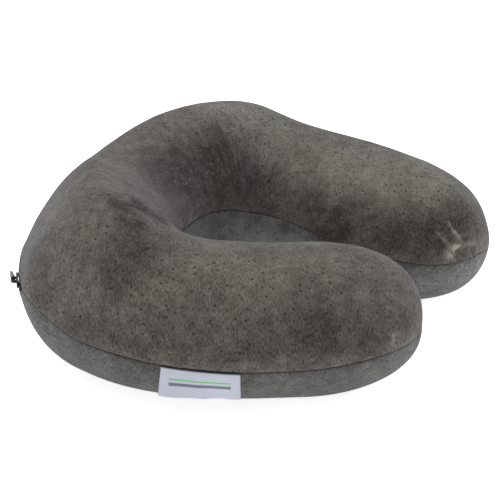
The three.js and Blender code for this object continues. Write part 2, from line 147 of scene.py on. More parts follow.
def run_along(points):
    """How far each point of a line, or of each line of a grid, is along it."""
    steps = np.linalg.norm(np.diff(points, axis=-2), axis=-1)
    start = np.zeros(steps.shape[:-1] + (1,))
    return np.concatenate([start, np.cumsum(steps, axis=-1)], axis=-1)


def share_of(distance):
    """Share of the half length that a place is from the nape."""
    return np.abs(distance) / HALF_LENGTH


def heading_at(distance):
    """Direction of the centre line, in radians from +X."""
    x = np.minimum(np.abs(distance) / BEND_LENGTH, 1)
    return math.radians(BEND_ANGLE) * (x + BEND_BIAS * np.sin(2 * np.pi * x) / (2 * np.pi))


LINE_STEP = 0.25
LINE = np.arange(0, HALF_LENGTH + NOSE_LENGTH, LINE_STEP)


def traced(turn_share):
    """The centre line of one half, with its turn scaled: 1 is the real one, less is a flatter one."""
    heading = turn_share * heading_at(LINE[:-1] + LINE_STEP / 2)
    x = np.concatenate([[0], np.cumsum(np.cos(heading))]) * LINE_STEP
    y = NAPE_CENTRE_Y - np.concatenate([[0], np.cumsum(np.sin(heading))]) * LINE_STEP
    return x, y


REAL_LINE = traced(1)


def centre_at(distance, line=REAL_LINE, turn_share=1):
    """Point of the centre line and its outward normal. Negative distances are the -X half."""
    side = np.where(distance < 0, -1.0, 1.0)
    x = np.interp(np.abs(distance), LINE, line[0])
    y = np.interp(np.abs(distance), LINE, line[1])
    heading = turn_share * heading_at(distance)
    return side * x, y, side * np.sin(heading), np.cos(heading)


# ---- the pillow's surface
def reach_to_zip_arc(distance):
    x, y, out_x, out_y = centre_at(distance)
    y = y - ZIP_CENTRE_Y
    along = out_x * x + out_y * y
    return np.sqrt(along**2 - x**2 - y**2 + ZIP_RADIUS**2) - along


def find_zip_end():
    """Distance along the centre line at which the opening for the zip ends."""
    x, _, out_x, _ = centre_at(LINE)
    arc = ZIP_RADIUS * np.arcsin((x + out_x * reach_to_zip_arc(LINE)) / ZIP_RADIUS)
    return float(LINE[np.argmax(arc >= ZIP_HALF_LENGTH + OPENING_MARGIN)])


ZIP_END = find_zip_end()


def along_zip(distance, fade):
    """1 along the zip, falling to 0 over a fade beyond its ends."""
    return 1 - smoothstep(np.abs(distance), ZIP_END, ZIP_END + fade)


def widest_z_at(distance):
    """Height of the widest point of the section. Along the zip the cover peaks at the zip."""
    plain = through(WIDEST_Z, share_of(distance))
    return plain + (ZIP_Z - plain) * along_zip(distance, OUTLINE_FADE)


def outer_seam_at(distance):
    """Height of the outer seam, which the zip takes over round the nape."""
    plain = through(OUTER_SEAM_Z, share_of(distance))
    return plain + (ZIP_Z - plain) * along_zip(distance, OUTLINE_FADE)


def roundness_at(share, outer, above):
    """Superellipse power of the quarter of the section that a point is in."""
    top = np.where(outer, through(OUTER_TOP, share), INNER_TOP)
    base = np.where(outer, through(OUTER_BASE, share), INNER_BASE)
    return np.where(above, top, base)


def surface(distance, angle, depth=0.0, lift=0.0, extra_at_zip=0.0):
    """Points of a layer. Angle 0 is outward, 90 degrees up and 180 degrees inward."""
    share = share_of(distance)
    x, y, out_x, out_y = centre_at(distance)
    half_width = through(WIDTH, share) / 2
    zip_reach = reach_to_zip_arc(np.clip(distance, -ZIP_END - OUTLINE_FADE, ZIP_END + OUTLINE_FADE))
    at_zip = along_zip(distance, OUTLINE_FADE)
    outer = half_width + (zip_reach - extra_at_zip - half_width) * at_zip - depth
    inner = half_width - depth
    nose_start = HALF_LENGTH - NOSE_LENGTH
    along = np.clip((np.abs(distance) - nose_start) / (NOSE_LENGTH - depth), 0, 1)
    plan_scale = (1 - along**NOSE_PLAN_POWER) ** (1 / NOSE_PLAN_POWER)
    side_power = np.where(np.sin(angle) >= 0, NOSE_TOP_POWER, NOSE_BASE_POWER)
    side_scale = (1 - along**side_power) ** (1 / side_power)
    widest_z = widest_z_at(distance)
    cos, sin = np.cos(angle), np.sin(angle)
    power = 2 / roundness_at(share, cos >= 0, sin >= 0)
    reach = np.where(cos >= 0, outer, inner)
    above = through(HEIGHT, share) - widest_z - depth - lift
    below = widest_z + BASE_FLATTENING - depth
    lean = np.where(sin > 0, through(CREST_SHIFT, share) * sin**2, 0)
    out = plan_scale * (reach * np.sign(cos) * np.abs(cos) ** power + lean)
    rise = np.where(sin >= 0, above, below) * np.sign(sin) * np.abs(sin) ** power
    z = np.maximum(widest_z + lift + side_scale * rise, depth + lift)
    return vectors(x + out_x * out, y + out_y * out, z)


def angle_at_height(distance, z, outer):
    """The section angle, from the level of the widest point, at which a height is reached."""
    share = share_of(distance)
    widest_z = widest_z_at(distance)
    offset = z - widest_z
    rise = np.where(offset >= 0, through(HEIGHT, share) - widest_z, widest_z + BASE_FLATTENING)
    power = roundness_at(share, outer, offset >= 0) / 2
    return np.sign(offset) * np.arcsin(np.minimum(np.abs(offset) / rise, 1) ** power)


def outer_seam_angle(distance, above=0.0):
    return angle_at_height(distance, outer_seam_at(distance) + above, True)


def inner_seam_angle(distance):
    seam = through(INNER_SEAM_Z, share_of(distance))
    return np.pi - angle_at_height(distance, seam, False)


def top_span(distance, cutback=0.0):
    """First and last section angle of the top panel, from the outer seam to the inner seam."""
    edge = cutback * along_zip(distance, OPENING_FADE)
    return outer_seam_angle(distance, edge), inner_seam_angle(distance)


def base_span(distance, cutback=0.0):
    """First and last section angle of the bottom panel, from the outer seam under the base."""
    edge = cutback * along_zip(distance, OPENING_FADE)
    return outer_seam_angle(distance, -edge), inner_seam_angle(distance) - 2 * np.pi


def stations(per_half):
    """Distances from tip to tip, about evenly spaced over the surface, closer at the tips."""
    nose_start = HALF_LENGTH - NOSE_LENGTH
    straight = np.linspace(0, nose_start, int(per_half * 0.68))
    turn = np.linspace(0, math.radians(89.7), per_half - len(straight) + 1)[1:]
    nose = nose_start + NOSE_LENGTH * np.sin(turn) ** (2 / NOSE_PLAN_POWER)
    half = np.concatenate([straight, nose])
    return np.concatenate([-half[:0:-1], half])[:, None]


def even_angles(distance, span, shares):
    """Angles whose points are spaced along the surface as shares says, and how far round they are."""
    start, end = span
    fine = start + (end - start) * np.linspace(0, 1, 241)
    travelled = run_along(surface(distance, fine))
    arc = travelled[:, -1:] * shares
    angle = np.array([np.interp(a, t, f) for a, t, f in zip(arc, travelled, fine)])
    crest = np.array([np.interp(math.pi / 2, f * np.sign(f[-1]), t) for f, t in zip(fine, travelled)])
    return angle, arc, crest[:, None]


def shares_between_seams(count, edge=0.035):
    """Shares of the way across a panel, closer together beside the seam at each edge."""
    near = edge * np.array([0, 0.06, 0.14, 0.25, 0.4, 0.62])
    middle = np.linspace(edge, 1 - edge, count - 2 * len(near))
    return np.concatenate([near, middle, 1 - near[::-1]])


def normals_of(grid, turn):
    """Unit normals of a grid of points. turn is 1 where its columns run up and over, -1 under."""
    along = np.gradient(grid, axis=0)
    across = np.gradient(grid, axis=1)
    return unit(turn * np.cross(across, along))


# ---- mesh building
def grid_faces(rows, columns, first=0):
    i = first + np.arange(rows - 1)[:, None] * columns + np.arange(columns - 1)
    return np.stack([i, i + 1, i + columns + 1, i + columns], axis=-1).reshape(-1, 4)


def rim_faces(rows, columns):
    """Faces that close the edges between a front grid and a back grid that follows it."""
    index = np.arange(rows * columns).reshape(rows, columns)
    rim = np.concatenate([index[0, :-1], index[:-1, -1], index[-1, :0:-1], index[:0:-1, 0]])
    after = np.roll(rim, -1)
    return np.stack([after, rim, rim + rows * columns, after + rows * columns], axis=-1)


def mesh_object(name, points, faces, material):
    """A smooth mesh of drawing points, facing outwards."""
    mesh = bpy.data.meshes.new(name)
    mesh.from_pydata(to_frame(points).tolist(), [], [list(map(int, face)) for face in faces])
    mesh.validate()
    mesh.materials.append(material)
    mesh.shade_smooth()
    obj = bpy.data.objects.new(name, mesh)
    bpy.context.scene.collection.objects.link(obj)
    return obj


def shell_object(name, front, back, material):
    """A closed skin between two grids of points."""
    rows, columns = front.shape[:2]
    points = np.concatenate([front.reshape(-1, 3), back.reshape(-1, 3)])
    outer = grid_faces(rows, columns)
    inner = grid_faces(rows, columns, rows * columns)[:, ::-1]
    return mesh_object(name, points, np.concatenate([outer, inner, rim_faces(rows, columns)]), material)


def put_attribute(obj, name, values):
    attribute = obj.data.attributes.new(name, "FLOAT", "POINT")
    attribute.data.foreach_set("value", np.asarray(values, np.float32).ravel())


def put_uv(obj, name, places):
    layer = obj.data.uv_layers.new(name=name)
    corners = np.zeros(len(obj.data.loops), np.int32)
    obj.data.loops.foreach_get("vertex_index", corners)
    layer.data.foreach_set("uv", places.reshape(-1, 2)[corners].astype(np.float32).ravel())


# ---- materials
class Nodes:
    """Short calls for making a material's nodes."""

    def __init__(self, name):
        self.material = bpy.data.materials.new(name)
        self.material.use_nodes = True
        self.tree = self.material.node_tree
        self.shader = self.tree.nodes["Principled BSDF"]

    def add(self, kind, inputs=(), **settings):
        node = self.tree.nodes.new(kind)
        for key, value in settings.items():
            setattr(node, key, value)
        for key, value in dict(inputs).items():
            self.feed(node.inputs[key], value)
        return node

    def feed(self, socket, value):
        if isinstance(value, bpy.types.NodeSocket):
            self.tree.links.new(value, socket)
        else:
            socket.default_value = value

    def place(self):
        return self.add("ShaderNodeNewGeometry").outputs["Position"]

    def uv(self, name):
        return self.add("ShaderNodeUVMap", uv_map=name).outputs["UV"]

    def attribute(self, name):
        return self.add("ShaderNodeAttribute", attribute_name=name).outputs["Fac"]

    def split(self, vector):
        return self.add("ShaderNodeSeparateXYZ", {"Vector": vector}).outputs

    def scaled(self, vector, scale, turn=0.0):
        inputs = {"Vector": vector, "Scale": scale, "Rotation": (0, 0, turn)}
        return self.add("ShaderNodeMapping", inputs).outputs[0]

    def math(self, operation, *values):
        return self.add("ShaderNodeMath", enumerate(values), operation=operation).outputs[0]

    def plus(self, first, second):
        return self.math("ADD", first, second)

    def times(self, first, second):
        return self.math("MULTIPLY", first, second)

    def wave(self, value, length):
        """Sine of a distance, repeating at a length in millimetres."""
        return self.math("SINE", self.times(value, 2 * math.pi / (length * MM)))

    def span(self, value, low, high, to_low=0.0, to_high=1.0):
        node = self.add("ShaderNodeMapRange", {
            "Value": value, "From Min": low, "From Max": high, "To Min": to_low, "To Max": to_high,
        }, interpolation_type="SMOOTHSTEP")
        return node.outputs["Result"]

    def mix(self, factor, first, second):
        node = self.add("ShaderNodeMix", data_type="RGBA")
        self.feed(node.inputs["Factor"], factor)
        self.feed(node.inputs[6], first)
        self.feed(node.inputs[7], second)
        return node.outputs[2]

    def noise(self, vector, scale, detail=2.0, roughness=0.5):
        node = self.add("ShaderNodeTexNoise", {
            "Vector": vector, "Scale": scale, "Detail": detail, "Roughness": roughness,
        })
        return node.outputs["Fac"]

    def bump(self, height, distance, strength=1.0, normal=None):
        inputs = {"Height": height, "Distance": distance, "Strength": strength}
        if normal is not None:
            inputs["Normal"] = normal
        return self.add("ShaderNodeBump", inputs).outputs["Normal"]

    def finish(self, **inputs):
        for key, value in inputs.items():
            self.feed(self.shader.inputs[key.replace("_", " ")], value)
        return self.material


def rgb(red, green, blue):
    """Linear colour from the eight-bit values that a screen shows."""
    def linear(c):
        c /= 255
        return c / 12.92 if c <= 0.04045 else ((c + 0.055) / 1.055) ** 2.4
    return (linear(red), linear(green), linear(blue), 1)


PIT_SPACING = 5.6 * MM
PIT_TURN = 0.6  # radians that the embossed pattern is turned on the cloth
PIT_RADII = (0.06, 0.15)  # shares of the spacing: the pit's flat middle and its edge
PIT_HIGHLIGHT_FROM = (12 * MM, 30 * MM)  # toward the nape, where the brushed pile is dark, the pits get a painted highlight
PILE_RELIEF = 0.7 * MM
CREASE_RELIEF = 5 * MM
RAMP_LIGHT = 0.7  # where the light tone lies between the dark and the crushed pile


def embossed_pits(n, place, nap_and_shade_field, mottle):
    """Dots pressed in the pile: their depth, how plainly they show and their colour, which is painted
    shade in the pits and a painted highlight in them where the pile is dark.
    """
    lattice = n.scaled(n.uv("cloth"), (1 / PIT_SPACING, 1 / PIT_SPACING, 1), PIT_TURN)
    cells = n.add("ShaderNodeTexVoronoi", {
        "Vector": lattice, "Scale": 1.0, "Randomness": 0.75,
    }, voronoi_dimensions="2D")
    pit = n.span(cells.outputs["Distance"], *PIT_RADII, 1.0, 0.0)
    # painted shade: the pits are darkened, unevenly
    pit_shade = n.times(n.span(n.noise(place, 120, 2), 0.38, 0.6, 0.1, 0.95), pit)
    flattened = n.span(nap_and_shade_field, 0.08, 0.32, 1.0, 0.0)
    # painted highlight: where the brushed pile is dark, toward the nape, the pits are painted pale
    by_nape = n.span(n.split(place)["Y"], *PIT_HIGHLIGHT_FROM)
    pit_highlight = n.times(n.times(flattened, by_nape), n.span(mottle, 0.36, 0.54, 0.2, 1.0))
    shown = n.math("MAXIMUM", pit_shade, n.times(pit, pit_highlight))
    return pit, shown, n.mix(pit_highlight, rgb(42, 39, 37), rgb(112, 98, 95))


def pile_colour(n, nap_and_shade, dark, middle, light, crushed):
    """The colour of the pile by its tone, from 0 to 1 / RAMP_LIGHT."""
    ramp = n.add("ShaderNodeValToRGB", {"Fac": n.times(nap_and_shade, RAMP_LIGHT)})
    stops = ramp.color_ramp.elements
    stops[0].position, stops[0].color = 0.0, dark
    stops[1].position, stops[1].color = 1.0, crushed
    stops.new(RAMP_LIGHT / 2).color = middle
    stops.new(RAMP_LIGHT).color = light
    return ramp.outputs["Color"]


def velour(name, *tones):
    """Short-pile velour: brushed both ways in patches, embossed with small dots."""
    n = Nodes(name)
    place = n.place()
    pile = n.uv("pile")
    # the pile's tone from the mesh, with painted shade on the walls in it
    nap_and_shade_field = n.attribute("nap_and_shade")
    cloud = n.noise(place, 42, 4, 0.6)
    mottle = n.noise(place, 170, 3, 0.6)
    speckle = n.noise(place, 1500, 2, 0.6)
    stroke = n.noise(n.scaled(pile, (1, 0.3, 1)), 1500, 2, 0.6)
    nap_and_shade = nap_and_shade_field
    for field, size in ((cloud, 0.09), (mottle, 0.11), (speckle, 0.16), (stroke, 0.2)):
        nap_and_shade = n.plus(nap_and_shade, n.span(field, 0.3, 0.7, -size, size))

    pit, shown, pit_shade_and_highlight = embossed_pits(n, place, nap_and_shade_field, mottle)
    colour = n.mix(shown, pile_colour(n, nap_and_shade, *tones), pit_shade_and_highlight)
    # painted shade: a dark line along each seam, broken by the mottling
    seam_shade_mask = n.times(n.attribute("seam_shade"), n.span(mottle, 0.35, 0.6, 0.2, 0.7))
    colour = n.mix(seam_shade_mask, colour, rgb(36, 33, 32))

    height = n.math("MULTIPLY_ADD", pit, -0.35, n.times(stroke, 0.5))
    height = n.plus(height, n.times(speckle, 0.5))
    normal = n.bump(height, PILE_RELIEF, 0.9)
    strayed = n.add("ShaderNodeVectorMath", {
        0: pile, 1: n.times(cloud, 14 * MM),
    }, operation="ADD").outputs[0]
    creases = n.times(n.noise(n.scaled(strayed, (1, 0.22, 1)), 240, 2, 0.5), n.attribute("gather"))
    normal = n.bump(creases, CREASE_RELIEF, 1.0, normal)
    return n.finish(
        Base_Color=colour, Normal=normal, Roughness=0.95, Specular_IOR_Level=0.1,
        Sheen_Weight=0.14, Sheen_Roughness=0.5, Sheen_Tint=(0.8, 0.86, 1, 1),
    )


def plain_fabric(name, colour, shade, scale, bump, roughness=0.9, sheen=0.2):
    """Fine fabric or foam: an even colour broken by soft mottling and a fine relief."""
    n = Nodes(name)
    place = n.place()
    cloud = n.noise(place, 60, 3, 0.6)
    grain = n.noise(place, scale, 2, 0.6)
    tone = n.mix(n.span(cloud, 0.3, 0.7), colour, shade)
    tone = n.mix(n.times(grain, 0.35), tone, shade)
    return n.finish(
        Base_Color=tone, Normal=n.bump(grain, bump * MM, 0.7),
        Roughness=roughness, Sheen_Weight=sheen,
    )


def woven_tape():
    """Black herringbone zip tape."""
    n = Nodes("zip_tape")
    place = n.uv("cloth")
    along, up, _ = n.split(place)
    fold = n.math("PINGPONG", up, 1.1 * MM)
    twill = n.wave(n.plus(along, fold), 0.55)
    grain = n.noise(place, 2500, 2)
    colour = n.mix(n.span(twill, -1, 1), rgb(16, 16, 18), rgb(38, 38, 42))
    normal = n.bump(n.plus(twill, grain), 0.08 * MM, 0.8)
    return n.finish(Base_Color=colour, Normal=normal, Roughness=0.85, Sheen_Weight=0.2)


def black_nylon():
    n = Nodes("zip_teeth")
    place = n.place()
    wear = n.noise(place, 700, 3)
    colour = n.mix(wear, rgb(14, 14, 16), rgb(30, 30, 34))
    roughness = n.span(wear, 0.3, 0.7, 0.32, 0.5)
    return n.finish(Base_Color=colour, Roughness=roughness, Normal=n.bump(wear, 0.03 * MM, 0.5))


def enamelled_metal(name, dark, light, low, high):
    n = Nodes(name)
    place = n.place()
    wear = n.noise(place, 900, 4, 0.6)
    scuff = n.span(n.noise(place, 300, 2), 0.58, 0.75)
    colour = n.mix(scuff, dark, light)
    roughness = n.span(wear, 0.3, 0.7, low, high)
    return n.finish(
        Base_Color=colour, Roughness=roughness, Metallic=0.6,
        Normal=n.bump(wear, 0.02 * MM, 0.5), Coat_Weight=0.3, Coat_Roughness=0.2,
    )


LINE_HALF_LENGTH = 16
# Lines woven in the label: how far down it, half width, colour.
WOVEN_LINES = [(5.6, 0.35, (96, 176, 96)), (8.2, 0.8, (96, 96, 108))]


def satin():
    """White satin ribbon, with a thin green and a thin grey line woven along it."""
    n = Nodes("label_satin")
    place = n.uv("ribbon")
    along, down, _ = n.split(place)
    weft = n.wave(down, 0.3)
    warp = n.wave(along, 0.42)
    cloud = n.noise(place, 160, 3)
    colour = n.mix(cloud, rgb(164, 168, 182), rgb(180, 184, 198))

    def band(value, middle, half, edge):
        away = n.math("ABSOLUTE", n.math("SUBTRACT", value, middle * MM))
        return n.span(away, half * MM, (half + edge) * MM, 1.0, 0.0)
    inside = band(along, LABEL_WIDTH / 2, LINE_HALF_LENGTH, 0.2)
    for middle, half, line_colour in WOVEN_LINES:
        line = n.times(band(down, middle, half, 0.12), inside)
        colour = n.mix(line, colour, rgb(*line_colour))
    normal = n.bump(n.plus(weft, n.times(warp, 0.6)), 0.03 * MM, 0.5)
    return n.finish(
        Base_Color=colour, Normal=normal, Roughness=0.42, Sheen_Weight=0.2, Anisotropic=0.4,
    )


# ---- relief of the cover
GROOVE_DEPTH = 0.6
GROOVE_WIDTH = 0.8
SEAM_SHADE_WIDTH = 0.4  # of the painted shade, a dark line where the two panels meet
LIP_RISE = 1.0  # how far the cover's edges stand up beside the zip
LIP_WIDTH = 4
FAINT_REACH = 112  # how far from the nape the outer seam is drawn tight
FAINT_FADE = 12
FAINT_TIP = 40  # and over what length round a tip both seams are
FAINT_SHARE = 0.22  # of a seam's groove and painted dark line that is left where it is tight
CORNER_ROLL = 6  # how soon the cloth's own relief rises beside a seam

# Folds pressed in the cloth: start, end, half width, height.
FOLDS = [
    ((-80, 50, 96), (-66, 32, 82), 5, 1.6),
    ((-94, 46, 98), (-78, 28, 86), 6, -1.6),
]

# Where the pile lies over: start, end, radius, change of tone.
BRUSHED = [
    ((14, 58, 73), (46, 44, 76), 22, -0.44),
    ((49, 14, 57), (37, -30, 49), 16, -0.36),
    ((38, -44, 51), (31, -84, 45), 15, -0.2),
    ((42, -98, 52), (36, -104, 44), 16, -0.27),
    ((-94, 46, 97), (-78, 27, 86), 7, -0.42),
    ((-96, 42, 96), (-103, 32, 91), 8, -0.3),
    ((-112, 32, 88), (-134, 28, 70), 12, -0.3),
    ((-116, 18, 83), (-125, 18, 77), 9, -0.2),
    ((-94, 20, 86), (-100, 10, 84), 8, -0.08),
    ((-114, 91, 60), (-116, 90, 63), 4, -0.24),
    ((-129, 76, 51), (-127, 75, 57), 5, -0.14),
    ((-122, -70, 50), (-88, -108, 46), 15, -0.12),
    ((-126, -56, 38), (-98, -101, 35), 9, -0.2),
    ((-138, 54, 43), (-146, 8, 38), 7, -0.16),
    ((-146, 8, 41), (-136, -40, 40), 7, -0.14),
    ((68, -31, 75), (55, -78, 74), 20, 0.22),
    ((84, 50, 97), (84, 10, 82), 22, 0.1),
    ((41, 22, 32), (37, -10, 34), 12, 0.45),
    ((36, -104, 26), (60, -120, 24), 16, 0.34),
    ((-76, -118, 26), (-100, -100, 20), 15, 0.12),
]

# Marks where the pile was pressed flat and catches the light.
PRESSED = [
    ((44, -98, 57), (44, -102, 51), 1.0, 0.65),
    ((44, -102, 51), (45, -107, 46), 1.3, 0.7),
    ((39, -94, 51), (40, -100, 44), 1.4, 0.6),
    ((39, -101, 39), (42, -103, 43), 2.9, 0.7),
    ((42, -103, 43), (53, -111, 43), 1.5, 0.8),
    ((45, -107, 38), (52, -111, 38), 2.6, -0.24),
    ((-90, -108, 41), (-91, -108, 37), 1.5, 0.55),
    ((-86, -110, 42), (-87, -110, 38), 1.0, 0.35),
    ((-80, -113, 36), (-76, -115, 30), 5.0, 0.2),
]

# Where the cloth is drawn up into fine creases, on the -X half and mirrored: middle, radius.
GATHERS = [
    ((-74, 44, 90), 24),
    ((-62, 26, 66), 20),
]
WAVE_COUNT = 9
WALL_PAINTED_SHADE = -0.11  # painted shade: the walls, which face sideways, are darker than the top


def segment_distance(points, start, end):
    start, end = np.array(start, float), np.array(end, float)
    way = end - start
    share = np.clip((points - start) @ way / (way @ way), 0, 1)
    return np.linalg.norm(points - start - share[..., None] * way, axis=-1)


def waves(points, length, seed):
    """A smooth field of mixed waves of about one length, from -1 to 1."""
    random = np.random.default_rng(seed)
    total = 0
    for _ in range(WAVE_COUNT):
        direction = unit(random.normal(size=3))
        pitch = length * random.uniform(0.7, 1.5)
        total = total + np.sin(points @ direction * 2 * np.pi / pitch + random.uniform(0, 2 * np.pi))
    return total / WAVE_COUNT * 1.6


def relief(points):
    """How far the cloth stands off the plain shape: folds and slight slackness."""
    height = 0.35 * waves(points, 46, 3) + 0.12 * waves(points, 17, 5)
    for start, end, width, size in FOLDS:
        height += size * np.exp(-((segment_distance(points, start, end) / width) ** 2))
    return height


def nap_and_shade_at(points, normal):
    """Tone of the pile, from 0, dark and reddish, to 1, light and greyish, with painted shade on the
    walls.
    """
    # painted shade: the tone is lowered where the surface faces sideways, on the walls
    wall_shade_mask = 1 - smoothstep(normal[..., 2], 0.35, 0.95)
    tone = 0.62 + 0.07 * waves(points, 55, 11) + WALL_PAINTED_SHADE * wall_shade_mask
    strayed = points + 3.5 * waves(points, 16, 13)[..., None]
    for start, end, radius, change in BRUSHED:
        tone += change * np.exp(-((segment_distance(strayed, start, end) / radius) ** 3))
    frayed = points + 0.6 * waves(points, 5, 17)[..., None]
    for start, end, radius, change in PRESSED:
        tone += change * np.exp(-((segment_distance(frayed, start, end) / radius) ** 2))
    return tone


def gather_at(points):
    """How much the cloth is drawn up into fine creases, from 0 to 1."""
    folded = points * np.where(points[..., :1] > 0, (-1, 1, 1), (1, 1, 1))
    return sum(
        np.exp(-((np.linalg.norm(folded - middle, axis=-1) / radius) ** 2))
        for middle, radius in GATHERS
    )


FLAT_TURN = 0.55
FLAT_LINE = traced(FLAT_TURN)


def cloth_places(distance, across, points):
    """Where points lie on the panel as it was cut flat, so that its pattern keeps its scale."""
    travelled = run_along(points[:, points.shape[1] // 2])
    nose_start = HALF_LENGTH - NOSE_LENGTH
    ends = np.interp([-nose_start, nose_start], distance[:, 0], travelled)
    over = np.maximum(travelled - ends[1], 0) - np.maximum(ends[0] - travelled, 0)
    walked = np.clip(distance, -nose_start, nose_start) + over[:, None]
    x, y, out_x, out_y = centre_at(walked, FLAT_LINE, FLAT_TURN)
    return vectors(x + out_x * across, y + out_y * across) * MM


# ---- the cover's own cloth
COVER_ROWS = 198  # rows of each half's mesh
LAYER_ROWS = 150
TAPE_ROWS = 300  # of a whole tape
FOAM_SIDES = 120
FOAM_RIPPLE = 0.12
CLOTH_ROWS = 110
TOP_CLOTH_COLUMNS = 46
BASE_CLOTH_COLUMNS = 34
CLOTH_DEPTH = 1.2  # the cloth starts this far inside the pillow's shape
CLOTH_PRESSURE = 4
CLOTH_FRAMES = 20
CLOTH_CAP = 4  # no point moves further than this
CLOTH_SHARE = 0.7  # of the cloth's own bulges and dips that the cover takes


def shifted_mean(field, reach):
    """A field averaged over a window of rows and columns."""
    for axis in (0, 1):
        total = 0
        pads = [(reach, reach) if k == axis else (0, 0) for k in (0, 1)]
        padded = np.pad(field, pads, mode="edge")
        for shift in range(2 * reach + 1):
            total = total + np.take(padded, np.arange(shift, shift + field.shape[axis]), axis)
        field = total / (2 * reach + 1)
    return field


def cloth_start():
    """The cover as one closed coarse tube: grids of its two panels, which share their seams."""
    distance = stations(CLOTH_ROWS)
    grids = []
    for span_of, columns in ((top_span, TOP_CLOTH_COLUMNS), (base_span, BASE_CLOTH_COLUMNS)):
        angle, _, _ = even_angles(distance, span_of(distance), np.linspace(0, 1, columns))
        points = surface(distance, angle, CLOTH_DEPTH)
        grids.append(points + 0.25 * waves(points, 14, 31)[..., None])
    return distance, grids


def simulated(obj):
    """The mesh's points after the cloth has been blown up a little, its seams held."""
    cloth = obj.modifiers.new("cloth", "CLOTH")
    settings = cloth.settings
    settings.quality = 6
    settings.mass = 0.2
    settings.tension_stiffness = 12
    settings.compression_stiffness = 12
    settings.shear_stiffness = 4
    settings.bending_stiffness = 0.3
    settings.use_pressure = True
    settings.uniform_pressure_force = CLOTH_PRESSURE
    settings.vertex_group_mass = "seams"
    settings.effector_weights.gravity = 0
    cloth.collision_settings.use_collision = False
    scene = bpy.context.scene
    for number in range(1, CLOTH_FRAMES + 1):
        scene.frame_set(number)
    result = obj.evaluated_get(bpy.context.evaluated_depsgraph_get()).to_mesh()
    points = np.zeros(3 * len(result.vertices))
    result.vertices.foreach_get("co", points)
    scene.frame_set(1)
    return points.reshape(-1, 3) / MM - ORIGIN


def settle_cloth():
    """Each panel's stand-off, in rows along the pillow and columns across it."""
    distance, (top, base) = cloth_start()
    ring = np.concatenate([top, base[:, -2:0:-1]], axis=1)
    rows, columns = ring.shape[:2]
    work = tube_object("cloth_work", ring, bpy.data.materials.new("cloth_work"))
    seams = work.vertex_groups.new(name="seams")
    index = np.arange(rows * columns).reshape(rows, columns)
    held = [*index[:, 0], *index[:, TOP_CLOTH_COLUMNS - 1], *index[0], *index[-1]]
    seams.add([int(i) for i in held], 1.0, "REPLACE")
    moved = simulated(work).reshape(rows, columns, 3) - ring
    bpy.data.objects.remove(work)
    moved *= np.minimum(1, CLOTH_CAP / np.maximum(length_of(moved), 1e-6))
    under = np.concatenate([moved[:, :1], moved[:, :TOP_CLOTH_COLUMNS - 2:-1]], axis=1)
    panels = {}
    for name, grid, shift, turn in (("top", top, moved[:, :TOP_CLOTH_COLUMNS], 1),
                                    ("base", base, under, -1)):
        out = (shift * normals_of(grid, turn)).sum(-1)
        panels[name] = CLOTH_SHARE * (out - shifted_mean(out, 7))
    return distance[:, 0], panels


def taken_by(panel, settled, distance, shares):
    """The settled cloth's stand-off at a finer grid's places."""
    if settled is None:
        return 0.0
    rows, panels = settled
    coarse = panels[panel]
    across = np.linspace(0, 1, coarse.shape[1])
    finer = np.stack([np.interp(shares, across, row) for row in coarse])
    return np.stack([np.interp(distance[:, 0], rows, column) for column in finer.T], axis=-1)


# ---- soft pieces
def belongs(obj, body, slot, *nodes):
    """The piece rides on a body and stands for CAD nodes, which it hides. slot is not used."""
    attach(obj, body)
    if nodes:
        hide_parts(*nodes)
    return obj


def seam_strength(distance, points, is_outer):
    """How plainly a seam's groove and painted dark line show: faint where it is drawn tight, and never
    even.
    """
    reach = np.abs(distance)
    tight = is_outer * (1 - smoothstep(reach, FAINT_REACH, FAINT_REACH + FAINT_FADE))
    tight = np.maximum(tight, smoothstep(reach, HALF_LENGTH - FAINT_TIP, HALF_LENGTH - 2))
    uneven = smoothstep(waves(points, 11, 29), -0.9, 0.5)
    return (1 - (1 - FAINT_SHARE) * tight) * (0.45 + 0.55 * uneven)


def cover_panel(name, node, span_of, lift, material, columns, tone, settled):
    """One panel of the cover, with its edges turned down into the seam."""
    distance = stations(COVER_ROWS)
    shares = shares_between_seams(columns)
    angle, arc, crest = even_angles(distance, span_of(distance, COVER_CUTBACK), shares)
    plain = surface(distance, angle, lift=lift)
    turn = math.copysign(1, angle[0, -1])
    normal = normals_of(plain, turn)
    to_seam = np.minimum(arc, arc[:, -1:] - arc)
    is_outer = arc < arc[:, -1:] / 2
    beside_zip = along_zip(distance, OPENING_FADE) * is_outer
    shown = seam_strength(distance, plain, is_outer) * (1 - beside_zip)
    groove = GROOVE_DEPTH * np.exp(-to_seam / GROOVE_WIDTH) * shown
    lip = LIP_RISE * np.exp(-to_seam / LIP_WIDTH) * beside_zip
    clear = 1 - np.exp(-to_seam / CORNER_ROLL)
    ground = smoothstep(plain[..., 2], 1.0, 12.0)
    panel = "top" if turn > 0 else "base"
    out = (relief(plain) + taken_by(panel, settled, distance, shares)) * clear * ground - groove + lip
    front = plain + normal * out[..., None]
    back = front - normals_of(front, turn) * COVER_THICKNESS
    obj = shell_object(name, front, back, material)
    # tone shifts a whole panel's pile: on the bottom panel it is painted light
    put_attribute(obj, "nap_and_shade", np.tile(nap_and_shade_at(plain, normal) + tone, (2, 1)))
    put_attribute(obj, "gather", np.tile(gather_at(plain), (2, 1)))
    put_attribute(obj, "seam_shade", np.tile(np.exp(-to_seam / SEAM_SHADE_WIDTH) * shown, (2, 1)))
    put_uv(obj, "cloth", np.tile(cloth_places(distance, crest - arc, plain), (2, 1, 1)))
    pile = vectors(distance, crest - arc) * MM
    put_uv(obj, "pile", np.tile(pile, (2, 1, 1)))
    belongs(obj, "pillow", "velour", node)


